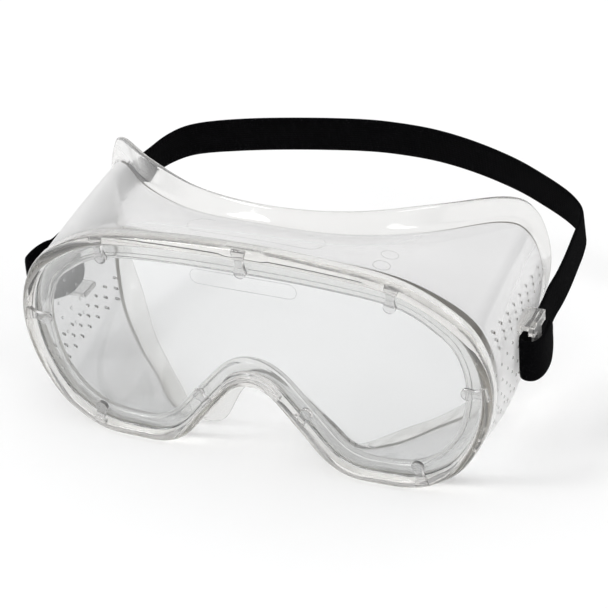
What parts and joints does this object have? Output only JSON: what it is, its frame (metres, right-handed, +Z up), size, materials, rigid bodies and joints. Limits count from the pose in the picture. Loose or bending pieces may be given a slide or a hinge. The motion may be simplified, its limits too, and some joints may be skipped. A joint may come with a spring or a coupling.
{
  "type": "safety goggles",
  "caption": "Soft-bodied clear safety goggles with vent holes in the sides, a clear lens held by moulded tabs, and a black elastic headband that swings up over the brow.",
  "frame": {"origin": "on the surface that the goggles stand on, below the middle of the front rim", "axes": "+X towards the wearer's left side, +Y from the lens towards the face, +Z up"},
  "size_m": [0.1805, 0.1237, 0.0821],
  "materials": {
    "soft_body": "soft clear moulded PVC, glossy, slightly cloudy at its edges",
    "lens": "clear polycarbonate sheet",
    "elastic": "woven black elastic with fine lengthwise ribs"
  },
  "bodies": {
    "root": {"front_rim": "soft_body", "lens_seat": "soft_body", "lens": "lens", "brow_wall": "soft_body", "temple_wall_left": "soft_body", "temple_wall_right": "soft_body", "cheek_wall_left": "soft_body", "cheek_wall_right": "soft_body", "nose_wall": "soft_body", "brow_flange": "soft_body", "temple_flange_left": "soft_body", "temple_flange_right": "soft_body", "cheek_flange_left": "soft_body", "cheek_flange_right": "soft_body", "nose_flange": "soft_body", "brow_tab_left": "soft_body", "brow_tab_centre": "soft_body", "brow_tab_right": "soft_body", "side_tab_left": "soft_body", "side_tab_right": "soft_body", "lower_tab_left": "soft_body", "lower_tab_right": "soft_body", "nose_tab_left": "soft_body", "nose_tab_right": "soft_body", "nose_lip": "soft_body", "strap_lug_left": "soft_body", "strap_lug_right": "soft_body", "band_loop_left": "elastic", "band_loop_right": "elastic"},
    "headband": {"headband_left": "elastic", "headband_right": "elastic", "headband_rear": "elastic"}
  },
  "joints": [
    {"name": "headband_swing", "type": "hinge", "parent": "root", "child": "headband", "pos_m": [0, 0.0505, 0.038], "axis": [1, 0, 0], "range_deg": [-25, 60]}
  ]
}
